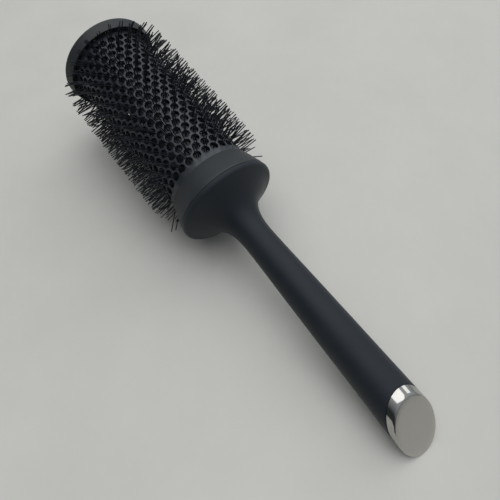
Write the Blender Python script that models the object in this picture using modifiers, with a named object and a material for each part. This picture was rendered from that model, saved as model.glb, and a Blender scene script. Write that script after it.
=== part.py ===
"""Round barrel brush: a vented thermal styling brush with a 45 mm metal barrel.

Every part is modelled along the brush's own axis. Local +Z runs from the tip cap to the
handle's end and local +X points at the table. The empty "brush_axis" then lays the brush down,
so that it rests on the bristles beside the collar and on the bottom edge of the end cap.
"""

import math

import bmesh
import bpy
from mathutils import Matrix, Vector

MM = 0.001

# Barrel and its perforation, in millimetres.
BARREL_R = 22.2
BARREL_WALL = 1.0
BARREL_Z = (3.0, 103.8)
ROWS = 28
RINGS = 21
RING_PITCH = 4.3
RING_FIRST = 9.43
PORT_R = 1.9
PORT_FIRST = 1
PORT_EVERY = 3
VENT_SHIFT = 1.5 * RING_PITCH
VENT_LAST = 95.7

# Bristle strips: a moulded spine inside the barrel with one spike of bristles in each port.
STRIPS = ROWS // 2
TIP_R = 32.5
SPINE_R = (18.2, 20.6)
SPINE_WIDTH = 2.4
SPINE_Z = (8.7, 96.2)
SPIKE_BASE = 1.15
SPIKE_TIP = 0.55

# Tip cap.
FLANGE_R = 26.8
FLANGE_BACK_R = 25.6
FLANGE_BACK_Z = 6.2
GROOVE_R = (24.2, 25.0)
GROOVE_Z = 4.0
CAP_FLOOR = 2.6
PLUG_SEAT = (7.9, 1.3)
NUT_POCKET = (4.8, 5.2)
BOSS = (7.0, 7.0)
ROD_HOLE_R = 2.3

# Collar and handle.
COLLAR_Z = (100.7, 112.85)
COLLAR_FRONT_R = 22.9
COLLAR_BACK_R = 26.2
BELL_Z = 113.15
BELL_R = 26.4
BELL_BORE_R = 22.4
SHOULDER_R = 2.6
SHOULDER_Z = BELL_Z + 0.75
SHOULDER_TURN = (60.0, 40.0, 20.0, 0.0)
SHELL_WALL = 1.9
END_R = 11.0

# Side of the handle behind the shoulder: (distance behind the seam, radius).
HANDLE_SIDE = (
    (147.85, END_R + 0.15),
    (96.65, 10.0),
    (71.65, 9.25),
    (49.65, 8.5),
    (31.65, 7.95),
    (22.65, 7.95),
    (16.65, 9.0),
    (12.15, 10.95),
    (8.85, 14.0),
    (5.85, 18.9),
)

# Inside of the handle.
CORE_END = 226.0
CORE_LIP_R = 20.6
CORE_FRONT = 100.9
ROD_TUNNEL = (2.4, 140.2)
CAP_STOCK = (226.0, 262.0)
CAP_SPIGOT_R = 7.6
CAP_SPIGOT = (226.4, 261.0)

# The handle's end is cut at a slant. Both cuts are parallel.
SLANT = math.radians(46.5)
FACE_Z = 247.3
SEAM_Z = 242.0

# Running gap between neighbouring pieces.
GAP = 0.3

BARREL_STEPS = ROWS
HANDLE_STEPS = 28
SMALL_STEPS = 16


def clear_scene():
    for obj in list(bpy.data.objects):
        bpy.data.objects.remove(obj, do_unlink=True)


def make_collection(name):
    collection = bpy.data.collections.new(name)
    bpy.context.scene.collection.children.link(collection)
    return collection


def make_material(name, color, roughness, metallic):
    material = bpy.data.materials.new(name)
    material.use_nodes = True
    shader = material.node_tree.nodes["Principled BSDF"]
    shader.inputs["Base Color"].default_value = (*color, 1.0)
    shader.inputs["Roughness"].default_value = roughness
    shader.inputs["Metallic"].default_value = metallic
    return material


def place(obj, collection, material=None):
    """Link an object to its collection and hang it on the brush's axis."""
    collection.objects.link(obj)
    obj.parent = axis
    if material is not None:
        obj.data.materials.append(material)
    return obj


def turned(name, profile, steps, collection, material=None, closed=False):
    """Turn a profile of (radius, z) points about the axis.

    The profile runs down its outer side, from the highest z to the lowest. A closed profile
    comes back up its inner side.
    """
    mesh = bpy.data.meshes.new(name)
    verts = [(r * MM, 0.0, z * MM) for r, z in profile]
    edges = [(i, i + 1) for i in range(len(verts) - 1)]
    if closed:
        edges.append((len(verts) - 1, 0))
    mesh.from_pydata(verts, edges, [])
    obj = bpy.data.objects.new(name, mesh)
    place(obj, collection, material)
    # Half a step of turn puts the middle of a facet, not a corner, on local +X.
    obj.rotation_euler.z = math.pi / steps
    screw = obj.modifiers.new("turn", "SCREW")
    screw.axis = "Z"
    screw.angle = 2.0 * math.pi
    screw.steps = steps
    screw.render_steps = steps
    screw.use_merge_vertices = True
    screw.merge_threshold = 0.00001
    screw.use_smooth_shade = True
    return obj


def boolean(obj, other, operation):
    modifier = obj.modifiers.new(operation.lower(), "BOOLEAN")
    modifier.operation = operation
    modifier.solver = "EXACT"
    modifier.object = other


def hide_cutter(obj):
    obj.hide_render = True
    obj.display_type = "WIRE"
    return obj


def bmesh_object(name, bm, collection, material=None):
    mesh = bpy.data.meshes.new(name)
    bm.to_mesh(mesh)
    bm.free()
    return place(bpy.data.objects.new(name, mesh), collection, material)


def ring_z(ring):
    return RING_FIRST + RING_PITCH * ring


def radial(angle):
    """Turn local +Z to point outwards at this angle around the axis."""
    return Matrix.Rotation(angle, 4, "Z") @ Matrix.Rotation(math.pi / 2.0, 4, "Y")


# ---------------------------------------------------------------- barrel

def barrel_cutters():
    """One hexagonal punch for each hole: ports in rows for bristles, vents between them."""
    bm = bmesh.new()
    row_angle = 2.0 * math.pi / ROWS
    for ring in range(PORT_FIRST, RINGS, PORT_EVERY):
        for row in range(ROWS):
            is_port = row % 2 == 1
            z = ring_z(ring)
            if not is_port:
                z += VENT_SHIFT
            if z > VENT_LAST:
                continue
            out = Matrix.Translation((0.0, 0.0, z * MM)) @ radial(row * row_angle)
            out = out @ Matrix.Translation((0.0, 0.0, BARREL_R * MM))
            bmesh.ops.create_cone(bm, cap_ends=True, segments=6, radius1=PORT_R * MM,
                                  radius2=PORT_R * MM, depth=4.0 * MM, matrix=out)
    return hide_cutter(bmesh_object("port_punches", bm, cutters))


def make_barrel():
    inner = BARREL_R - BARREL_WALL
    low, high = BARREL_Z
    profile = [(BARREL_R, high), (BARREL_R, low), (inner, low), (inner, high)]
    barrel = turned("barrel_tube", profile, BARREL_STEPS, parts, coating, closed=True)
    boolean(barrel, barrel_cutters(), "DIFFERENCE")


def strip_mesh():
    """Join the spine and its spikes once. All the strips share this mesh."""
    bm = bmesh.new()
    low, high = SPINE_Z
    depth = SPINE_R[1] - SPINE_R[0]
    size = Matrix.Diagonal((depth * MM, SPINE_WIDTH * MM, (high - low) * MM, 1.0))
    middle = Vector(((SPINE_R[0] + depth / 2.0) * MM, 0.0, (low + high) / 2.0 * MM))
    bmesh.ops.create_cube(bm, size=1.0, matrix=Matrix.Translation(middle) @ size)
    spine = bmesh_object("strip_spine", bm, cutters)

    bm = bmesh.new()
    start = SPINE_R[0] + depth / 2.0
    for ring in range(PORT_FIRST, RINGS, PORT_EVERY):
        out = Matrix.Translation((0.0, 0.0, ring_z(ring) * MM)) @ radial(0.0)
        out = out @ Matrix.Translation((0.0, 0.0, (start + TIP_R) / 2.0 * MM))
        bmesh.ops.create_cone(bm, cap_ends=True, segments=4, radius1=SPIKE_BASE * MM,
                              radius2=SPIKE_TIP * MM, depth=(TIP_R - start) * MM, matrix=out)
    spikes = hide_cutter(bmesh_object("strip_spikes", bm, cutters))
    boolean(spine, spikes, "UNION")
    bpy.context.view_layer.update()
    joined = spine.evaluated_get(bpy.context.evaluated_depsgraph_get())
    mesh = bpy.data.meshes.new_from_object(joined)
    mesh.name = "bristle_strip"
    bpy.data.objects.remove(spine)
    bpy.data.objects.remove(spikes)
    mesh.materials.append(nylon)
    return mesh


def make_strips():
    mesh = strip_mesh()
    for number in range(STRIPS):
        strip = bpy.data.objects.new(f"bristle_strip_{number + 1:02d}", mesh)
        place(strip, parts)
        strip.rotation_euler.z = (number + 0.5) * 2.0 * math.pi / STRIPS


# ---------------------------------------------------------------- tip and inner frame

def make_tip_cap():
    """A flared flange with a groove beside the barrel and a boss for the tie rod."""
    skirt = BARREL_R + GAP
    profile = [
        (FLANGE_BACK_R, FLANGE_BACK_Z),
        (FLANGE_R - 0.1, 2.0),
        (FLANGE_R, 1.2),
        (FLANGE_R - 0.4, 0.35),
        (FLANGE_R - 1.2, 0.0),
        (PLUG_SEAT[0], 0.0),
        PLUG_SEAT,
        (NUT_POCKET[0], PLUG_SEAT[1]),
        NUT_POCKET,
        (ROD_HOLE_R, NUT_POCKET[1]),
        (ROD_HOLE_R, BOSS[1]),
        BOSS,
        (BOSS[0], CAP_FLOOR),
        (skirt, CAP_FLOOR),
        (skirt, GROOVE_Z),
        (GROOVE_R[0], GROOVE_Z),
        (GROOVE_R[1], FLANGE_BACK_Z),
    ]
    turned("tip_cap", profile, BARREL_STEPS, parts, cap_plastic, closed=True)


def make_tip_plug():
    profile = [(0.0, 1.0), (7.5, 1.0), (7.5, 0.3), (7.2, 0.0), (0.0, 0.0)]
    turned("tip_plug", profile, SMALL_STEPS, parts, cap_plastic)


def make_tip_nut():
    bm = bmesh.new()
    middle = Matrix.Translation((0.0, 0.0, 3.05 * MM))
    bmesh.ops.create_cone(bm, cap_ends=True, segments=6, radius1=4.1 * MM, radius2=4.1 * MM,
                          depth=2.5 * MM, matrix=middle)
    nut = bmesh_object("tip_nut", bm, parts, steel)
    bore = [(2.3, 5.0), (2.3, 1.0)]
    bore = [(0.0, 5.0)] + bore + [(0.0, 1.0)]
    boolean(nut, hide_cutter(turned("nut_bore", bore, SMALL_STEPS, cutters)), "DIFFERENCE")


def make_tip_washer():
    profile = [(4.4, 4.9), (4.4, 4.6), (2.3, 4.6), (2.3, 4.9)]
    turned("tip_washer", profile, SMALL_STEPS, parts, steel, closed=True)


def make_tie_rod():
    profile = [(0.0, 139.6), (1.6, 139.6), (2.0, 139.2), (2.0, 2.4), (1.6, 2.0), (0.0, 2.0)]
    turned("tie_rod", profile, SMALL_STEPS, parts, steel)


def make_core_tube():
    profile = [(5.4, 100.6), (5.4, 7.3), (2.4, 7.3), (2.4, 100.6)]
    turned("core_tube", profile, SMALL_STEPS, parts, core_plastic, closed=True)


def make_spider(name, low, high, lip):
    """A ring inside the strips. Its lip stops the strips from sliding along the barrel."""
    lip_low, lip_high = lip
    bore = 5.7
    land = 17.8
    rim = 20.7
    if lip_low == low:
        profile = [(land, high), (land, lip_high), (rim, lip_high), (rim, lip_low), (bore, low),
                   (bore, high)]
    else:
        profile = [(rim, lip_high), (rim, lip_low), (land, lip_low), (land, low), (bore, low),
                   (bore, high)]
    turned(name, profile, SMALL_STEPS, parts, core_plastic, closed=True)


# ---------------------------------------------------------------- collar and handle

def make_collar():
    """A tapered ring with a seat for the barrel's end."""
    low, high = COLLAR_Z
    seat = BARREL_R + GAP
    profile = [
        (COLLAR_BACK_R - 0.3, high),
        (COLLAR_BACK_R, high - 0.4),
        (COLLAR_FRONT_R, low),
        (seat, low),
        (seat, BARREL_Z[1] + GAP),
        (20.9, BARREL_Z[1] + GAP),
        (20.9, high),
    ]
    turned("collar_ring", profile, HANDLE_STEPS, parts, cap_plastic, closed=True)


def shoulder(wall):
    """The bell's rounded shoulder: an arc from the seam round to the steep side."""
    radius = SHOULDER_R - wall
    centre_r = BELL_R - SHOULDER_R
    turn = [math.radians(a) for a in SHOULDER_TURN]
    return [(centre_r + radius * math.cos(a), SHOULDER_Z + radius * math.sin(a)) for a in turn]


def sweep(wall):
    """Points of the handle's side from the grip's end to the bell, offset inwards by wall."""
    stations = [(BELL_Z + behind, r) for behind, r in HANDLE_SIDE]
    points = []
    for index, (z, r) in enumerate(stations):
        before = stations[max(index - 1, 0)]
        after = stations[min(index + 1, len(stations) - 1)]
        across = Vector((after[0] - before[0], after[1] - before[1])).normalized()
        points.append((r - wall * abs(across.x), z - wall * abs(across.y)))
    return points


def slant_cutter(name, z, depth):
    """A block whose lower face is the slanted plane that crosses the axis at z."""
    bm = bmesh.new()
    turn = Matrix.Rotation(-SLANT, 4, "Y")
    lift = Matrix.Translation((0.0, 0.0, depth / 2.0 * MM))
    size = Matrix.Diagonal((90.0 * MM, 60.0 * MM, depth * MM, 1.0))
    where = Matrix.Translation((0.0, 0.0, z * MM))
    bmesh.ops.create_cube(bm, size=1.0, matrix=where @ turn @ lift @ size)
    return hide_cutter(bmesh_object(name, bm, cutters))


def make_handle_core():
    """The rigid inside of the handle: a spigot for the barrel, a hub and a long tang."""
    spigot = BARREL_R - BARREL_WALL - GAP
    hub = BELL_BORE_R - GAP
    lip_z = COLLAR_Z[1] + 0.2
    seat_z = BARREL_Z[1] + GAP
    inner = [(r, z) for r, z in sweep(SHELL_WALL + GAP) if z < CORE_END]
    flare = [
        (hub, SHOULDER_Z),
        (hub, lip_z),
        (CORE_LIP_R, lip_z),
        (CORE_LIP_R, seat_z),
        (spigot, seat_z),
        (spigot, CORE_FRONT),
        (ROD_TUNNEL[0], CORE_FRONT),
        ROD_TUNNEL,
        (0.0, ROD_TUNNEL[1]),
    ]
    start = [(0.0, CORE_END), (inner[0][0], CORE_END)]
    turned("handle_core", start + inner + flare, HANDLE_STEPS, parts, core_plastic)


def make_handle_shell():
    """The soft-touch outer shell: bell and grip in one, open at both ends."""
    outer = sweep(0.0) + shoulder(0.0) + [(BELL_R - 0.25, BELL_Z)]
    inner = [(BELL_BORE_R, BELL_Z), (BELL_BORE_R, BELL_Z + 1.4)] + sweep(SHELL_WALL)[::-1]
    shell = turned("handle_shell", outer + inner, HANDLE_STEPS, parts, soft_touch, closed=True)
    boolean(shell, slant_cutter("seam_cut", SEAM_Z, 60.0), "DIFFERENCE")


def make_end_cap():
    """A slanted metal slab that closes the handle, with a spigot glued into the shell."""
    low, high = CAP_STOCK
    outer = [(0.0, high), (END_R, high), (END_R + 0.05, low), (0.0, low)]
    cap = turned("end_cap", outer, HANDLE_STEPS, parts, polished_metal)
    keep = slant_cutter("seam_keep", SEAM_Z + GAP / math.cos(SLANT), 60.0)
    boolean(cap, keep, "INTERSECT")
    low, high = CAP_SPIGOT
    spigot = [
        (0.0, high),
        (CAP_SPIGOT_R, high),
        (CAP_SPIGOT_R, low + 0.6),
        (CAP_SPIGOT_R - 0.6, low),
        (0.0, low),
    ]
    boolean(cap, hide_cutter(turned("cap_spigot", spigot, SMALL_STEPS, cutters)), "UNION")
    boolean(cap, slant_cutter("face_cut", FACE_Z, 40.0), "DIFFERENCE")


# ---------------------------------------------------------------- assembly

def lay_down():
    """Tilt the axis until the last bristles and the end cap's lower edge are level."""
    last_z = ring_z(range(PORT_FIRST, RINGS, PORT_EVERY)[-1])
    half = math.pi / STRIPS
    bristle_drop = TIP_R * math.cos(half) + SPIKE_TIP * math.sin(half)
    cap_drop = END_R * math.cos(math.pi / HANDLE_STEPS)
    cap_z = FACE_Z + cap_drop * math.tan(SLANT)
    tilt = math.atan((bristle_drop - cap_drop) / (cap_z - last_z))
    axis.rotation_euler = (0.0, math.pi / 2.0 + tilt, 0.0)


def seat_on_origin():
    """Move the brush so that the origin is the middle of its box's lower side."""
    bpy.context.view_layer.update()
    graph = bpy.context.evaluated_depsgraph_get()
    corners = []
    for obj in parts.objects:
        if obj.type != "MESH":
            continue
        built = obj.evaluated_get(graph)
        mesh = built.to_mesh()
        corners += [obj.matrix_world @ vert.co for vert in mesh.vertices]
        built.to_mesh_clear()
    low = [min(corner[i] for corner in corners) for i in range(3)]
    high = [max(corner[i] for corner in corners) for i in range(3)]
    axis.location.x -= (low[0] + high[0]) / 2.0
    axis.location.z -= low[2]
    bpy.context.view_layer.update()


clear_scene()
parts = make_collection("round_barrel_brush")
cutters = make_collection("cutters")
axis = bpy.data.objects.new("brush_axis", None)
parts.objects.link(axis)

coating = make_material("ceramic_coating", (0.022, 0.023, 0.024), 0.5, 0.0)
nylon = make_material("bristle_nylon", (0.012, 0.012, 0.013), 0.4, 0.0)
cap_plastic = make_material("matte_plastic", (0.035, 0.038, 0.037), 0.6, 0.0)
core_plastic = make_material("core_plastic", (0.06, 0.06, 0.06), 0.6, 0.0)
soft_touch = make_material("soft_touch", (0.022, 0.025, 0.032), 0.55, 0.0)
polished_metal = make_material("polished_metal", (0.62, 0.6, 0.57), 0.22, 1.0)
steel = make_material("steel", (0.45, 0.45, 0.46), 0.35, 1.0)

make_barrel()
make_strips()
make_tip_cap()
make_tip_plug()
make_tip_nut()
make_tip_washer()
make_tie_rod()
make_core_tube()
make_spider("front_spider", 7.4, 10.4, (7.4, 8.3))
make_spider("rear_spider", 96.0, 100.6, (96.6, 100.6))
make_collar()
make_handle_core()
make_handle_shell()
make_end_cap()
lay_down()
seat_on_origin()
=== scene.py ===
"""Looks of the round barrel brush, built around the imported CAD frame.

Every piece is modelled along the brush's own axis, in millimetres, and then placed by one matrix:
local +Z runs from the tip cap to the handle's end and local +X points at the table.
"""

import math
import random

import bmesh
import bpy
from mathutils import Matrix, Vector


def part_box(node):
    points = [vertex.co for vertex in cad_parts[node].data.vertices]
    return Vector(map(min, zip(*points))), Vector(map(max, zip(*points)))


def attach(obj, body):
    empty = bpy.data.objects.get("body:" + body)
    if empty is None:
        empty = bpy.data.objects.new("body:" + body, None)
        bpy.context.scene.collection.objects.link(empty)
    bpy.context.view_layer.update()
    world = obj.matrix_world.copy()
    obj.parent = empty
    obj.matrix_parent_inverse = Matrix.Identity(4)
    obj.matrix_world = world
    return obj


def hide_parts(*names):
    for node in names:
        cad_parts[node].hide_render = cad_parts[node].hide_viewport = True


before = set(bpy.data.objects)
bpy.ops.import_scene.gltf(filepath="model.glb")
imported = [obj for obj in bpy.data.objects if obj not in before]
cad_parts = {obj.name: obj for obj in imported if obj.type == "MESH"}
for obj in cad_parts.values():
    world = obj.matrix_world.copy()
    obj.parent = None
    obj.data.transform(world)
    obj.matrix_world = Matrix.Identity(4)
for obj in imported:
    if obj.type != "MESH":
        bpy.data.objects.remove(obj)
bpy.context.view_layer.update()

MM = 0.001
TAU = 2.0 * math.pi

# Driving dimensions, the same as the CAD model's, in millimetres. A pair of radii or of places
# along the axis runs from the inner or front one to the outer or back one. Other pairs are a
# radius and a place or depth along the axis.
BARREL_R = 22.2
BARREL_WALL = 1.0
BARREL_Z = (3.0, 103.8)
ROWS = 28
RINGS = 21
RING_PITCH = 4.3
RING_FIRST = 9.43
STRIPS = ROWS // 2
TIP_R = 32.5
SPINE_R = (19.2, 20.6)
FLANGE_R = 26.8
FLANGE_BACK = (25.6, 6.2)
GROOVE_R = (24.2, 25.0)
GROOVE_Z = 4.0
COLLAR_Z = (100.7, 112.85)
COLLAR_R = (22.9, 26.2)
BELL_Z = 113.15
BELL_R = 26.4
SHOULDER_R = 2.6
SHOULDER_Z = BELL_Z + 0.75
END_R = 11.0
GRIP_R = 10.0
GRIP_BEHIND = 96.65
SLANT = math.radians(46.5)
FACE_Z = 247.3
SEAM_Z = 242.0
WASHER_MIDDLE = 4.75
CAP_FLOOR_Z = 2.6
BARREL_SEAT_R = 22.5
PLUG_POCKET = (7.9, 1.4)
PLUG_R = 7.55
PLUG_Z = (0.02, 1.0)
BOSS = (7.0, 7.0)
ROD_HOLE_R = 2.3
NUT_POCKET = (4.8, 5.2)
COLLAR_BORE_R = 20.9
CAP_SEAT = (8.7, 6.0)
CAP_GAP = 0.12
FACE_R = END_R - 0.34
FACE_SHARES = (0.8, 0.6, 0.4, 0.2)

# The seam between the collar and the bell, as it looks: a hairline in the CAD's running gap.
SEAM_LINE = (112.94, 113.06)

# The perforation as it looks: round holes with a softened edge.
HOLE_R = 2.05
HOLE_EDGE = 0.18
HOLE_SIDES = 18
EDGE_PARTS = HOLE_SIDES // 6
CELL_MARGIN = 0.78 * RING_PITCH

# Ribs of a bristle strip: where they end, and half their width there and at a hole.
RIB_Z = (6.8, 98.0)
RIB_END_HALF = 0.75
RIB_HALF = 1.5
RIB_DIRECTION_Z = 0.95
CROSS_BARS_Z = (7.6, 52.7, 96.8)
CROSS_BAR_HALF = 0.6
CROSS_BAR_INSET = 0.05
CROSS_BAR_PARTS = 4

# Bristles: radii at root and tip, places in a hole, and how much they vary, in millimetres.
ROOT_DEPTH = 0.4
ROOT_R = (0.29, 0.32)
BRISTLE_TIP_R = (0.25, 0.275)
PAIR_OFFSET = 0.52
THIRD_OFFSET = 0.62
SINGLE_BELOW = 0.16
THIRD_ABOVE = 0.88
FAN_OUT = 1.35
TUFT_LEAN = 0.26
OWN_LEAN = 0.15
REACH_RANGE = (-0.9, 0.1)
TABLE_GAP = 0.02
SHORTEST_REACH = 20.0
SHORTENING = 0.05
FIRST_RING_SHIFT = 1.1

# Bent-back bristles beside the collar: row and lean towards the handle, in millimetres.
STRAYS = {7: 6.5, 23: 10.5, 24: 8.0, 25: 1.8}
STRAY_REACH = TIP_R - 0.6
STRAY_R = (0.32, 0.28)

# Outline of bell and grip behind the shoulder: radius, and distance behind the bell's front.
HANDLE_SIDE = (
    (22.2, 4.1),
    (18.9, 5.85),
    (14.0, 8.85),
    (10.95, 12.15),
    (9.0, 16.65),
    (7.95, 22.65),
    (7.9, 31.65),
    (8.5, 49.65),
    (9.25, 71.65),
    (GRIP_R, GRIP_BEHIND),
)

# Hollow of the handle, from the end cap's seat forwards: radius and place along the axis.
HANDLE_HOLLOW = (
    (8.0, 215.0),
    (5.9, 150.0),
    (5.9, 138.0),
    (9.0, 126.0),
    (20.0, 117.2),
    (22.4, 114.2),
    (22.4, SEAM_LINE[1]),
)

# The grip goes from a round section to the slanted plane in equal steps and a softened edge.
GRIP_STEPS = 12
GRIP_STEP = 0.08
GRIP_LAST = 0.988
GRIP_EDGE_INSETS = (0.04, 0.16)
GRIP_EDGE_RISE = 0.063

# The camera: angles, target and distance in metres, lens and sensor in millimetres.
VIEW_AZIMUTH = math.radians(52.48)
VIEW_ELEVATION = math.radians(58.06)
VIEW_TARGET = Vector((0.0023, 0.0026, 0.0))
VIEW_DISTANCE = 0.2686
VIEW_LENS = 36.0
SENSOR = 36.0

# Area lights over a pale table: name, place, size (metres), power (watts) and colour.
LIGHTS = (
    ("overhead", (-0.40, 0.20, 2.34), (3.0, 3.0), 40.0, (1.0, 0.99, 0.97)),
    ("window", (-0.50, 1.90, 1.50), (2.4, 0.8), 7.0, (1.0, 0.99, 0.98)),
)
FLOOR_HALF = 3.0

# Dome: the direction it is bright in, its strengths, and its colour.
DOME_TOWARDS = (0.0, 0.447, 0.894)
DOME_STRENGTH = (0.04, 0.5)
DOME_FULL_AT = 0.75
DOME_COLOUR = (0.90, 0.96, 1.0, 1.0)

# Sides of a turned surface.
SEGMENTS = 160


# ---------------------------------------------------------------- placing

def middle(node):
    """Middle of a CAD node's box."""
    low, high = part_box(node)
    return (low + high) / 2.0


def brush_matrix():
    """Local to world: the washer's and the rod's middles both lie on the brush's axis."""
    washer = middle("tip_washer")
    rod = middle("tie_rod")
    along = (rod - washer).normalized()
    tip = washer - along * WASHER_MIDDLE * MM
    side = Vector((0.0, 1.0, 0.0))
    down = side.cross(along)
    matrix = Matrix.Identity(4)
    for column, vector in enumerate((down, side, along)):
        matrix.col[column] = (*vector, 0.0)
    matrix.col[3] = (*tip, 1.0)
    return matrix


PLACE = brush_matrix()


def finish_piece(name, bm, material, nodes, in_mesh=False):
    """Turn a bmesh in millimetres into a placed piece that replaces its CAD nodes.

    With in_mesh the placing goes into the vertices, so that the piece's bounding box
    is square to the table.
    """
    bmesh.ops.scale(bm, vec=(MM, MM, MM), verts=bm.verts)
    bmesh.ops.recalc_face_normals(bm, faces=bm.faces)
    mesh = bpy.data.meshes.new(name)
    bm.to_mesh(mesh)
    bm.free()
    mesh.shade_smooth()
    mesh.set_sharp_from_angle(angle=math.radians(40.0))
    obj = bpy.data.objects.new(name, mesh)
    bpy.context.scene.collection.objects.link(obj)
    if in_mesh:
        mesh.transform(PLACE)
    else:
        obj.matrix_world = PLACE
    obj.data.materials.append(material)
    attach(obj, "root")
    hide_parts(*nodes)
    return obj


# ---------------------------------------------------------------- profiles

def arc(centre, radius, start, end, count):
    """Points of an arc in (radius, z), from start to end in degrees."""
    points = []
    for i in range(count + 1):
        a = math.radians(start + (end - start) * i / count)
        points.append((centre[0] + radius * math.cos(a), centre[1] + radius * math.sin(a)))
    return points


def spline(stations, per_span):
    """A smooth curve through stations, by cubic Hermite spans with averaged slopes."""
    points = []
    for i in range(len(stations) - 1):
        before = stations[max(i - 1, 0)]
        a = stations[i]
        b = stations[i + 1]
        after = stations[min(i + 2, len(stations) - 1)]
        span = math.dist(a, b)
        slope_a = unit_slope(before, b, span)
        slope_b = unit_slope(a, after, span)
        for j in range(per_span):
            t = j / per_span
            points.append(hermite(a, b, slope_a, slope_b, t))
    points.append(stations[-1])
    return points


def unit_slope(before, after, span):
    """The direction from one station to another, as long as a span."""
    length = math.dist(before, after)
    return ((after[0] - before[0]) / length * span, (after[1] - before[1]) / length * span)


def hermite(a, b, slope_a, slope_b, t):
    """A point at share t of a cubic between a and b."""
    h00 = 2 * t ** 3 - 3 * t ** 2 + 1
    h10 = t ** 3 - 2 * t ** 2 + t
    h01 = -2 * t ** 3 + 3 * t ** 2
    h11 = t ** 3 - t ** 2
    return tuple(h00 * a[k] + h10 * slope_a[k] + h01 * b[k] + h11 * slope_b[k] for k in (0, 1))


def ring_of(bm, points):
    """New vertices at the points."""
    return [bm.verts.new(p) for p in points]


def flat_ring(radius, z, segments=SEGMENTS):
    """Points of a circle around the axis."""
    points = []
    for i in range(segments):
        a = TAU * i / segments
        points.append((radius * math.cos(a), radius * math.sin(a), z))
    return points


def bridge(bm, first, second):
    """Quads between two loops of the same length."""
    count = len(first)
    for i in range(count):
        j = (i + 1) % count
        bm.faces.new((first[i], first[j], second[j], second[i]))


def turn(profile, closed=False, segments=SEGMENTS):
    """Revolve (radius, z) points. Points on the axis close the surface with a fan."""
    bm = bmesh.new()
    rings = []
    for r, z in profile:
        if r < 1e-6:
            rings.append([bm.verts.new((0.0, 0.0, z))])
            continue
        rings.append(ring_of(bm, flat_ring(r, z, segments)))
    pairs = list(zip(rings, rings[1:]))
    if closed:
        pairs.append((rings[-1], rings[0]))
    for first, second in pairs:
        join_rings(bm, first, second)
    return bm


def join_rings(bm, first, second):
    """Quads between two loops, or a fan where one of them is a single point."""
    if len(first) == 1 and len(second) == 1:
        return
    if len(first) == 1:
        first, second = second, first
    if len(second) == 1:
        for i, vert in enumerate(first):
            bm.faces.new((vert, first[(i + 1) % len(first)], second[0]))
        return
    bridge(bm, first, second)


# ---------------------------------------------------------------- materials

class Nodes:
    """A small helper around a Principled material's node tree."""

    def __init__(self, name, metallic=0.0, specular=0.5):
        self.material = bpy.data.materials.new(name)
        self.material.use_nodes = True
        self.tree = self.material.node_tree
        self.shader = self.tree.nodes["Principled BSDF"]
        self.shader.inputs["Metallic"].default_value = metallic
        self.shader.inputs["Specular IOR Level"].default_value = specular
        self.coords = self.tree.nodes.new("ShaderNodeTexCoord").outputs["Object"]

    def stretch(self, scale):
        """The object's coordinates, scaled by axis."""
        mapping = self.tree.nodes.new("ShaderNodeMapping")
        mapping.inputs["Scale"].default_value = scale
        self.tree.links.new(self.coords, mapping.inputs["Vector"])
        return mapping.outputs["Vector"]

    def noise(self, scale, detail, rough=0.55, vector=None):
        node = self.tree.nodes.new("ShaderNodeTexNoise")
        node.inputs["Scale"].default_value = scale
        node.inputs["Detail"].default_value = detail
        node.inputs["Roughness"].default_value = rough
        self.tree.links.new(vector or self.coords, node.inputs["Vector"])
        return node.outputs["Fac"]

    def ramp(self, value, low, high):
        """Spread the middle of a noise between two values."""
        node = self.tree.nodes.new("ShaderNodeMapRange")
        node.inputs["From Min"].default_value = 0.35
        node.inputs["From Max"].default_value = 0.65
        node.inputs["To Min"].default_value = low
        node.inputs["To Max"].default_value = high
        self.tree.links.new(value, node.inputs["Value"])
        return node.outputs["Result"]

    def colours(self, value, dark, light):
        """Spread the middle of a noise between two colours."""
        node = self.tree.nodes.new("ShaderNodeValToRGB")
        stops = node.color_ramp.elements
        for stop, position, colour in zip(stops, (0.3, 0.7), (dark, light)):
            stop.position = position
            stop.color = (*colour, 1.0)
        self.tree.links.new(value, node.inputs["Fac"])
        return node.outputs["Color"]

    def link(self, output, socket):
        self.tree.links.new(output, self.shader.inputs[socket])

    def bump(self, height, strength, distance):
        node = self.tree.nodes.new("ShaderNodeBump")
        node.inputs["Strength"].default_value = strength
        node.inputs["Distance"].default_value = distance
        self.tree.links.new(height, node.inputs["Height"])
        self.link(node.outputs["Normal"], "Normal")


def soft_touch():
    """Charcoal soft-touch lacquer: a very fine pebble, faint handling smudges."""
    n = Nodes("soft_touch_charcoal", specular=0.22)
    n.shader.inputs["Sheen Weight"].default_value = 0.1
    n.shader.inputs["Sheen Roughness"].default_value = 0.4
    smudge = n.noise(45.0, 3.0)
    grain = n.noise(2600.0, 2.0)
    n.link(n.colours(smudge, (0.015, 0.019, 0.025), (0.020, 0.025, 0.032)), "Base Color")
    n.link(n.ramp(smudge, 0.50, 0.62), "Roughness")
    n.bump(grain, 0.12, 0.00005)
    return n.material


def moulded(name, dark, light, rough):
    """Matt moulded plastic with a fine spark-eroded texture."""
    n = Nodes(name, specular=0.3)
    patches = n.noise(60.0, 4.0)
    grain = n.noise(3200.0, 3.0)
    n.link(n.colours(patches, dark, light), "Base Color")
    n.link(n.ramp(patches, rough - 0.05, rough + 0.07), "Roughness")
    n.bump(grain, 0.16, 0.00005)
    return n.material


def ceramic():
    """Black ceramic coating: a satin skin with fine orange peel and slight wear."""
    n = Nodes("ceramic_coating_black", specular=0.4)
    peel = n.noise(900.0, 2.0)
    wear = n.noise(140.0, 5.0)
    n.link(n.colours(wear, (0.030, 0.036, 0.046), (0.046, 0.053, 0.064)), "Base Color")
    n.link(n.ramp(wear, 0.26, 0.38), "Roughness")
    n.bump(peel, 0.15, 0.00006)
    return n.material


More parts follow.
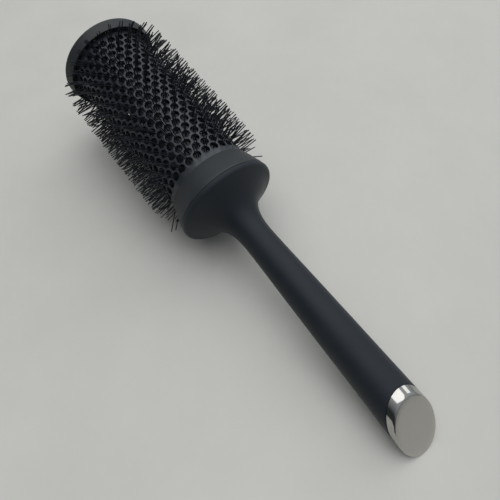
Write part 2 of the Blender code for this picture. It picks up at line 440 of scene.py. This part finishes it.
def nylon():
    """Black nylon bristle: satin and slightly uneven."""
    n = Nodes("bristle_nylon_black", specular=0.25)
    patches = n.noise(500.0, 3.0)
    n.link(n.colours(patches, (0.013, 0.015, 0.020), (0.021, 0.024, 0.030)), "Base Color")
    n.link(n.ramp(patches, 0.34, 0.5), "Roughness")
    n.bump(n.noise(2500.0, 2.0), 0.1, 0.00004)
    return n.material


def polished_side():
    """Polished plated metal, with fine turning lines around it and a few scuffs."""
    n = Nodes("polished_metal_side", metallic=1.0)
    lines = n.noise(30.0, 3.0, vector=n.stretch((4.0, 4.0, 260.0)))
    scuffs = n.noise(220.0, 6.0)
    n.link(n.colours(scuffs, (0.43, 0.42, 0.41), (0.51, 0.50, 0.48)), "Base Color")
    n.link(n.ramp(scuffs, 0.05, 0.10), "Roughness")
    n.bump(lines, 0.05, 0.00005)
    return n.material


def satin_face():
    """Fine-blasted satin metal on the slanted face."""
    n = Nodes("satin_metal_face", metallic=1.0)
    clouds = n.noise(70.0, 4.0)
    grain = n.noise(4200.0, 3.0)
    n.link(n.colours(clouds, (0.56, 0.535, 0.50), (0.60, 0.575, 0.54)), "Base Color")
    n.link(n.ramp(clouds, 0.34, 0.42), "Roughness")
    n.bump(grain, 0.12, 0.00003)
    return n.material


def steel():
    """Zinc-plated steel of the nut, the washer and the rod."""
    n = Nodes("zinc_plated_steel", metallic=1.0)
    patches = n.noise(300.0, 5.0)
    n.link(n.colours(patches, (0.38, 0.38, 0.39), (0.50, 0.50, 0.49)), "Base Color")
    n.link(n.ramp(patches, 0.28, 0.42), "Roughness")
    n.bump(n.noise(1800.0, 3.0), 0.12, 0.00004)
    return n.material


def floor_material():
    """Pale table top with soft clouding."""
    n = Nodes("pale_table")
    clouds = n.noise(14.0, 7.0, 0.62)
    n.link(n.colours(clouds, (0.55, 0.543, 0.514), (0.602, 0.596, 0.565)), "Base Color")
    n.link(n.ramp(clouds, 0.55, 0.65), "Roughness")
    n.bump(n.noise(900.0, 3.0), 0.05, 0.0001)
    return n.material


SOFT_TOUCH = soft_touch()
CAP_PLASTIC = moulded("cap_plastic_grey", (0.028, 0.032, 0.036), (0.034, 0.038, 0.043), 0.52)
CORE_PLASTIC = moulded("core_plastic_dark", (0.028, 0.031, 0.036), (0.042, 0.046, 0.053), 0.6)
CERAMIC = ceramic()
NYLON = nylon()
POLISHED = polished_side()
SATIN = satin_face()
STEEL = steel()


# ---------------------------------------------------------------- barrel

def half_step(ring):
    """One for the rings that are offset by half a hole, which is every second one."""
    return ring % 2


def hole_angle(ring, row):
    """Angle of a hole around the axis."""
    return TAU * (row + 0.5 * half_step(ring)) / ROWS


def ring_z(ring):
    """Place of a ring of holes along the axis."""
    return RING_FIRST + RING_PITCH * ring


def barrel_point(steps, z, depth):
    """A point below the barrel's surface, its angle given in half spacings of the holes."""
    a = TAU * steps / (2 * ROWS)
    r = BARREL_R - depth
    return (r * math.cos(a), r * math.sin(a), z)


class BarrelSkin:
    """The perforated tube's six-sided cells, whose borders share their vertices.

    A vertex is known by its step around, its step along the axis and its depth.
    """

    def __init__(self):
        self.bm = bmesh.new()
        self.shared = {}
        self.low = RING_FIRST - CELL_MARGIN
        self.high = ring_z(RINGS - 1) + CELL_MARGIN

    def border(self, ring, row, depth):
        """Points around the cell, each edge cut in equal parts, shared with its neighbours."""
        parts = EDGE_PARTS
        verts = []
        centre = 2 * row + half_step(ring)
        across = (0, 1, 1, 0, -1, -1)
        along = (2, 1, -1, -2, -1, 1)
        for side in range(6):
            after = (side + 1) % 6
            for part in range(parts):
                s = across[side] * (parts - part) + across[after] * part
                t = along[side] * (parts - part) + along[after] * part
                step_s = (centre * parts + s) % (2 * ROWS * parts)
                step_t = 3 * ring * parts + t
                verts.append(self.vert(step_s, step_t, depth))
        return verts

    def vert(self, step_s, step_t, depth):
        """The vertex at these steps, made the first time it is asked for."""
        key = (step_s, step_t, depth)
        if key not in self.shared:
            z = RING_FIRST + RING_PITCH * step_t / (3.0 * EDGE_PARTS)
            z = min(max(z, self.low), self.high)
            point = barrel_point(step_s / EDGE_PARTS, z, depth)
            self.shared[key] = self.bm.verts.new(point)
        return self.shared[key]


def circle_points(ring, row, radius, depth):
    """A circle drawn on the barrel around a hole, at a depth below its surface."""
    centre_a = hole_angle(ring, row)
    centre_z = ring_z(ring)
    points = []
    for i in range(HOLE_SIDES):
        turn_a = math.pi / 2.0 - TAU * i / HOLE_SIDES
        a = centre_a + radius * math.cos(turn_a) / BARREL_R
        z = centre_z + radius * math.sin(turn_a)
        r = BARREL_R - depth
        points.append((r * math.cos(a), r * math.sin(a), z))
    return points


def make_barrel():
    skin = BarrelSkin()
    bm = skin.bm
    steps = [
        (HOLE_R + HOLE_EDGE, 0.0),
        (HOLE_R + 0.05, 0.05),
        (HOLE_R, HOLE_EDGE),
        (HOLE_R, BARREL_WALL - 0.15),
        (HOLE_R + 0.12, BARREL_WALL),
    ]
    for ring in range(RINGS):
        for row in range(ROWS):
            loops = [skin.border(ring, row, 0.0)]
            for radius, depth in steps:
                loops.append(ring_of(bm, circle_points(ring, row, radius, depth)))
            loops.append(skin.border(ring, row, BARREL_WALL))
            for first, second in zip(loops, loops[1:]):
                bridge(bm, first, second)
    close_ends(bm, skin)
    finish_piece("barrel_skin", bm, CERAMIC, ["barrel_tube"])


def edge_loop(skin, last_ring, depth, low_side):
    """The outermost vertices of the lattice on one side, in order, put on one level."""
    found = []
    for (step_s, step_t, vert_depth), vert in skin.shared.items():
        offset = step_t - 3 * last_ring * EDGE_PARTS
        outside = offset <= -EDGE_PARTS if low_side else offset >= EDGE_PARTS
        if outside and vert_depth == depth:
            found.append((step_s, vert))
            vert.co.z = skin.low if low_side else skin.high
    found.sort(key=lambda item: item[0])
    return [vert for _, vert in found]


def close_ends(bm, skin):
    """Add the plain bands beyond the lattice and close the tube at both ends."""
    ends = ((0, True, BARREL_Z[0]), (RINGS - 1, False, BARREL_Z[1]))
    for last_ring, low_side, end_z in ends:
        rims = []
        for depth in (0.0, BARREL_WALL):
            loop = edge_loop(skin, last_ring, depth, low_side)
            rim = ring_of(bm, [(vert.co.x, vert.co.y, end_z) for vert in loop])
            bridge(bm, loop, rim)
            rims.append(rim)
        bridge(bm, rims[0], rims[1])


# ---------------------------------------------------------------- bristles

def radial_point(angle, radius, z, sideways=0.0):
    """A point out from the axis at an angle, moved sideways around it."""
    return Vector((
        radius * math.cos(angle) - sideways * math.sin(angle),
        radius * math.sin(angle) + sideways * math.cos(angle),
        z,
    ))


def add_filament(bm, start, end, base_r, tip_r, sides=8):
    """One straight bristle with a rounded tip."""
    along = (end - start).normalized()
    across = along.cross(Vector((0.0, 0.0, 1.0))).normalized()
    other = along.cross(across)
    length = (end - start).length
    stations = (
        (0.0, base_r),
        (0.45, base_r * 0.6 + tip_r * 0.4),
        (1.0 - tip_r * 0.9 / length, tip_r),
        (1.0 - tip_r * 0.3 / length, tip_r * 0.75),
    )
    loops = []
    for share, radius in stations:
        centre = start.lerp(end, share)
        loop = []
        for i in range(sides):
            a = TAU * i / sides
            loop.append(centre + (across * math.cos(a) + other * math.sin(a)) * radius)
        loops.append(ring_of(bm, loop))
    for first, second in zip(loops, loops[1:]):
        bridge(bm, first, second)
    top = bm.verts.new(end)
    join_rings(bm, loops[-1], [top])
    bm.faces.new(loops[0][::-1])


def table_gap(point):
    """Height of a local point above the table, in millimetres."""
    return (PLACE @ (point * MM)).z / MM


def add_tuft(bm, angle, z, shift, rng):
    """Two bristles side by side, turned at random, and now and then a third or only one.

    The shift moves the tips along the axis, away from the tip cap.
    """
    turn_a = rng.uniform(0.0, math.pi)
    spots = [(PAIR_OFFSET, turn_a), (-PAIR_OFFSET, turn_a)]
    draw = rng.random()
    if draw < SINGLE_BELOW:
        spots.pop()
    elif draw > THIRD_ABOVE:
        spots.append((THIRD_OFFSET, turn_a + math.pi / 2.0))
    lean_z = shift + rng.gauss(0.0, TUFT_LEAN)
    lean_side = rng.gauss(0.0, TUFT_LEAN)
    for distance, direction in spots:
        along = distance * math.cos(direction)
        across = distance * math.sin(direction)
        tip_z = z + FAN_OUT * along + lean_z + rng.gauss(0.0, OWN_LEAN)
        tip_side = FAN_OUT * across + lean_side + rng.gauss(0.0, OWN_LEAN)
        reach = TIP_R + rng.uniform(*REACH_RANGE)
        start = radial_point(angle, SPINE_R[1] - ROOT_DEPTH, z + along, across)
        end = radial_point(angle, reach, tip_z, tip_side)
        while table_gap(end) < TABLE_GAP and reach > SHORTEST_REACH:
            reach -= SHORTENING
            end = radial_point(angle, reach, tip_z, tip_side)
        add_filament(bm, start, end, rng.uniform(*ROOT_R), rng.uniform(*BRISTLE_TIP_R))


def add_stray(bm, angle, lean):
    """One bristle of the last ring, bent back over the collar."""
    z = ring_z(RINGS - 1)
    start = radial_point(angle, SPINE_R[1] - ROOT_DEPTH, z)
    end = radial_point(angle, STRAY_REACH, z + lean)
    add_filament(bm, start, end, *STRAY_R)


def add_bar(bm, corners):
    """A closed bar through a row of four-cornered sections."""
    loops = [ring_of(bm, section) for section in corners]
    for first, second in zip(loops, loops[1:]):
        bridge(bm, first, second)
    bm.faces.new(loops[0][::-1])
    bm.faces.new(loops[-1])


def rib_section(angle, z, half_width, direction_z):
    """A rib's section: its width lies across the rib's own direction."""
    side = half_width * direction_z
    shift = half_width * math.sqrt(max(0.0, 1.0 - direction_z ** 2))
    return [
        radial_point(angle, SPINE_R[1], z + shift, -side),
        radial_point(angle, SPINE_R[1], z - shift, side),
        radial_point(angle, SPINE_R[0], z - shift, side),
        radial_point(angle, SPINE_R[0], z + shift, -side),
    ]


def add_rib(bm, row, rng):
    """A zigzag rib under one row of holes, with the bristles of that row."""
    last = RINGS - 1
    sections = [rib_section(hole_angle(0, row), RIB_Z[0], RIB_END_HALF, 1.0)]
    for ring in range(RINGS):
        angle = hole_angle(ring, row)
        sections.append(rib_section(angle, ring_z(ring), RIB_HALF, RIB_DIRECTION_Z))
        shift = FIRST_RING_SHIFT if ring == 0 else 0.0
        add_tuft(bm, angle, ring_z(ring), shift, rng)
    sections.append(rib_section(hole_angle(last, row), RIB_Z[1], RIB_END_HALF, 1.0))
    if row in STRAYS:
        add_stray(bm, hole_angle(last, row), STRAYS[row])
    add_bar(bm, sections)


def add_cross_bar(bm, row, z):
    """A bar between a strip's two ribs."""
    left = hole_angle(0, row)
    right = hole_angle(0, row + 1)
    outer = SPINE_R[1] - CROSS_BAR_INSET
    inner = SPINE_R[0] + CROSS_BAR_INSET
    sections = []
    for i in range(CROSS_BAR_PARTS + 1):
        a = left + (right - left) * i / CROSS_BAR_PARTS
        sections.append([
            radial_point(a, outer, z - CROSS_BAR_HALF),
            radial_point(a, outer, z + CROSS_BAR_HALF),
            radial_point(a, inner, z + CROSS_BAR_HALF),
            radial_point(a, inner, z - CROSS_BAR_HALF),
        ])
    add_bar(bm, sections)


def make_strip(number):
    """Two ribs and their cross bars, for two neighbouring rows of holes."""
    rng = random.Random(1000 + number)
    bm = bmesh.new()
    first_row = 2 * number
    for row in (first_row, first_row + 1):
        add_rib(bm, row, rng)
    for z in CROSS_BARS_Z:
        add_cross_bar(bm, first_row, z)
    name = f"bristles_{number + 1:02d}"
    node = f"bristle_strip_{number + 1:02d}"
    finish_piece(name, bm, NYLON, [node])


# ---------------------------------------------------------------- tip cap and collar

def make_tip_cap():
    """Flared flange with a groove beside the barrel, a plug's pocket and the nut's boss."""
    back_r, back_z = FLANGE_BACK
    pocket_r, pocket_z = PLUG_POCKET
    nut_r, nut_z = NUT_POCKET
    profile = [(pocket_r, pocket_z), (pocket_r, 0.25)]
    profile += arc((pocket_r + 0.3, 0.25), 0.25, 180.0, 270.0, 4)
    profile += [(12.0, 0.0), (18.0, 0.0), (24.0, 0.0)]
    profile += arc((FLANGE_R - 1.1, 1.1), 1.1, 270.0, 375.0, 10)
    profile += [(FLANGE_R - 0.45, 3.0), (FLANGE_R - 0.85, 4.6)]
    profile += arc((back_r - 0.3, back_z - 0.3), 0.3, 15.0, 175.0, 8)
    profile += [(GROOVE_R[1] - 0.3, back_z - 1.0), (GROOVE_R[0] + 0.1, GROOVE_Z + 0.5)]
    profile += arc((GROOVE_R[0] - 0.4, GROOVE_Z + 0.4), 0.4, 0.0, -90.0, 4)
    profile += [(BARREL_SEAT_R, GROOVE_Z), (BARREL_SEAT_R, CAP_FLOOR_Z)]
    profile += [(BOSS[0], CAP_FLOOR_Z), BOSS, (ROD_HOLE_R, BOSS[1]), (ROD_HOLE_R, nut_z)]
    profile += [(nut_r, nut_z), (nut_r, pocket_z)]
    bm = turn(profile, closed=True)
    finish_piece("flared_tip_cap", bm, CAP_PLASTIC, ["tip_cap"])


def make_tip_plug():
    """Disc in the tip cap's front, with a rounded edge and a shallow dish."""
    front, back = PLUG_Z
    profile = [(0.0, back), (PLUG_R, back)]
    profile += arc((PLUG_R - 0.3, front + 0.3), 0.3, 0.0, -90.0, 5)
    profile += [(5.0, front), (4.4, 0.16), (2.0, 0.2), (0.0, 0.2)]
    bm = turn(profile, segments=96)
    finish_piece("tip_cap_plug", bm, CAP_PLASTIC, ["tip_plug"])


def make_collar():
    """Ring that widens from the barrel to the bell, very slightly domed."""
    low = COLLAR_Z[0]
    high = SEAM_LINE[0]
    seat_z = BARREL_Z[1] + 0.3
    front_r, back_r = COLLAR_R
    profile = arc((front_r - 0.2, low + 0.2), 0.2, 250.0, 345.0, 5)
    steps = 8
    for i in range(1, steps):
        share = i / steps
        bulge = 0.12 * math.sin(math.pi * share)
        r = front_r + (back_r - front_r) * share + bulge
        profile.append((r, low + 0.3 + (high - 0.6 - low) * share))
    profile += arc((back_r - 0.12, high - 0.12), 0.12, 10.0, 90.0, 4)
    profile += [(COLLAR_BORE_R, high), (COLLAR_BORE_R, seat_z), (BARREL_SEAT_R, seat_z)]
    profile += [(BARREL_SEAT_R, low + 0.15)]
    bm = turn(profile, closed=True)
    finish_piece("tapered_collar", bm, CAP_PLASTIC, ["collar_ring"])


# ---------------------------------------------------------------- handle

def handle_outline():
    """(radius, z) from the seam with the collar to the grip's end."""
    outline = arc((BELL_R - 0.36, SEAM_LINE[1] + 0.12), 0.12, 270.0, 340.0, 4)
    outline += arc((BELL_R - SHOULDER_R, SHOULDER_Z), SHOULDER_R, -15.0, 52.0, 12)
    stations = [outline[-1]]
    stations += [(r, BELL_Z + behind) for r, behind in HANDLE_SIDE]
    return outline + spline(stations, 6)[1:]


def slant_ring(radius, z_axis):
    """A ring on the slanted plane that crosses the axis at z_axis."""
    points = []
    for i in range(SEGMENTS):
        a = TAU * i / SEGMENTS
        x = radius * math.cos(a)
        points.append((x, radius * math.sin(a), z_axis + x * math.tan(SLANT)))
    return points


def grip_radius(z):
    """Radius of the last stretch of the grip, which widens evenly to the end cap."""
    start = BELL_Z + GRIP_BEHIND
    return GRIP_R + (END_R - GRIP_R) * (z - start) / (SEAM_Z - start)


def sheared_ring(start_z, z_axis, share, inset=0.0):
    """A ring part of the way from a square section to the slanted plane.

    The radius depends on the place along the axis, so a point's end is found in a few rounds.
    """
    points = []
    for i in range(SEGMENTS):
        a = TAU * i / SEGMENTS
        end_z = z_axis
        for _ in range(6):
            end_z = z_axis + grip_radius(end_z) * math.cos(a) * math.tan(SLANT)
        z = start_z + (end_z - start_z) * share
        r = grip_radius(z) - inset
        points.append((r * math.cos(a), r * math.sin(a), z))
    return points


def make_handle():
    """Bell and grip in one skin, closed through the end cap's seat and the hollow."""
    outline = handle_outline()
    bm = turn(outline)
    bm.verts.ensure_lookup_table()
    last = bm.verts[-SEGMENTS:]
    start_z = outline[-1][1]
    loops = []
    for share in [GRIP_STEP * i for i in range(1, GRIP_STEPS + 1)] + [GRIP_LAST]:
        loops.append(sheared_ring(start_z, SEAM_Z, share))
    for inset in GRIP_EDGE_INSETS:
        share = GRIP_LAST + GRIP_EDGE_RISE * inset
        loops.append(sheared_ring(start_z, SEAM_Z, share, inset))
    seat_r, seat_depth = CAP_SEAT
    loops.append(slant_ring(seat_r, SEAM_Z))
    loops.append(slant_ring(seat_r, SEAM_Z - seat_depth))
    for r, z in HANDLE_HOLLOW:
        loops.append(flat_ring(r, z))
    for points in loops:
        ring = ring_of(bm, points)
        bridge(bm, last, ring)
        last = ring
    bridge(bm, last, first_ring(bm))
    finish_piece("soft_touch_handle", bm, SOFT_TOUCH, ["handle_shell"],
                 in_mesh=True)


def first_ring(bm):
    """The first loop of a turned surface."""
    bm.verts.ensure_lookup_table()
    return [bm.verts[i] for i in range(SEGMENTS)]


def make_end_cap():
    """Side band in polished metal, face in satin metal, with a small polished chamfer."""
    bm = bmesh.new()
    back_z = SEAM_Z + 2.0 * CAP_GAP
    rings = [
        (END_R - 0.55, back_z),
        (END_R - 0.12, back_z),
        (END_R, SEAM_Z + 3.2 * CAP_GAP),
        (END_R, SEAM_Z + 1.6),
        (END_R, FACE_Z - 1.6),
        (END_R, FACE_Z - 0.42),
        (END_R - 0.03, FACE_Z - 0.34),
        (END_R - 0.27, FACE_Z - 0.04),
        (FACE_R, FACE_Z),
    ]
    loops = [ring_of(bm, slant_ring(r, z)) for r, z in rings]
    for first, second in zip(loops, loops[1:]):
        bridge(bm, first, second)
    back = bm.verts.new((0.0, 0.0, back_z))
    join_rings(bm, loops[0], [back])
    side_faces = len(bm.faces)
    last = loops[-1]
    for share in FACE_SHARES:
        ring = ring_of(bm, slant_ring(FACE_R * share, FACE_Z))
        bridge(bm, last, ring)
        last = ring
    centre = bm.verts.new((0.0, 0.0, FACE_Z))
    join_rings(bm, last, [centre])
    bm.faces.ensure_lookup_table()
    for face in bm.faces[side_faces:]:
        face.material_index = 1
    cap = finish_piece("slanted_metal_end", bm, POLISHED, ["end_cap"])
    cap.data.materials.append(SATIN)


# ---------------------------------------------------------------- carried-over nodes

def dress_cad_nodes():
    """Materials for the inner parts, which are shown as the CAD has them."""
    looks = {
        "tip_nut": STEEL,
        "tip_washer": STEEL,
        "tie_rod": STEEL,
        "core_tube": CORE_PLASTIC,
        "front_spider": CORE_PLASTIC,
        "rear_spider": CORE_PLASTIC,
        "handle_core": CORE_PLASTIC,
    }
    for node, material in looks.items():
        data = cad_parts[node].data
        data.materials.clear()
        data.materials.append(material)


# ---------------------------------------------------------------- stage

def make_floor():
    """The table top."""
    bm = bmesh.new()
    bmesh.ops.create_grid(bm, x_segments=1, y_segments=1, size=FLOOR_HALF)
    mesh = bpy.data.meshes.new("table_top")
    bm.to_mesh(mesh)
    bm.free()
    floor = bpy.data.objects.new("table_top", mesh)
    bpy.context.scene.collection.objects.link(floor)
    floor.data.materials.append(floor_material())


def add_area(name, position, size, power, colour):
    """A rectangular light that faces the brush."""
    light = bpy.data.lights.new(name, "AREA")
    light.shape = "RECTANGLE"
    light.size = size[0]
    light.size_y = size[1]
    light.energy = power
    light.color = colour
    obj = bpy.data.objects.new(name, light)
    bpy.context.scene.collection.objects.link(obj)
    obj.location = position
    obj.rotation_euler = (-Vector(position)).to_track_quat("-Z", "Y").to_euler()


def make_world():
    """A soft dome: bright overhead and towards the window, nearly dark on the other side."""
    world = bpy.data.worlds.new("studio")
    world.use_nodes = True
    tree = world.node_tree
    coords = tree.nodes.new("ShaderNodeTexCoord")
    towards = tree.nodes.new("ShaderNodeVectorMath")
    towards.operation = "DOT_PRODUCT"
    towards.inputs[1].default_value = DOME_TOWARDS
    tree.links.new(coords.outputs["Generated"], towards.inputs[0])
    glow = tree.nodes.new("ShaderNodeMapRange")
    glow.inputs["From Min"].default_value = 0.0
    glow.inputs["From Max"].default_value = DOME_FULL_AT
    glow.inputs["To Min"].default_value = DOME_STRENGTH[0]
    glow.inputs["To Max"].default_value = DOME_STRENGTH[1]
    tree.links.new(towards.outputs["Value"], glow.inputs["Value"])
    background = tree.nodes["Background"]
    background.inputs["Color"].default_value = DOME_COLOUR
    tree.links.new(glow.outputs["Result"], background.inputs["Strength"])
    bpy.context.scene.world = world


def make_camera():
    """The camera of the main view."""
    data = bpy.data.cameras.new("photo_view")
    data.lens = VIEW_LENS
    data.sensor_width = SENSOR
    data.clip_start = 0.01
    camera = bpy.data.objects.new("photo_view", data)
    bpy.context.scene.collection.objects.link(camera)
    away = Vector((
        math.cos(VIEW_ELEVATION) * math.sin(VIEW_AZIMUTH),
        -math.cos(VIEW_ELEVATION) * math.cos(VIEW_AZIMUTH),
        math.sin(VIEW_ELEVATION),
    ))
    camera.location = VIEW_TARGET + away * VIEW_DISTANCE
    camera.rotation_euler = (-away).to_track_quat("-Z", "Y").to_euler()
    bpy.context.scene.camera = camera


make_camera()
make_world()
for light in LIGHTS:
    add_area(*light)
make_floor()
make_barrel()
for strip in range(STRIPS):
    make_strip(strip)
make_tip_cap()
make_tip_plug()
make_collar()
make_handle()
make_end_cap()
dress_cad_nodes()
bpy.context.scene.view_settings.view_transform = "Standard"
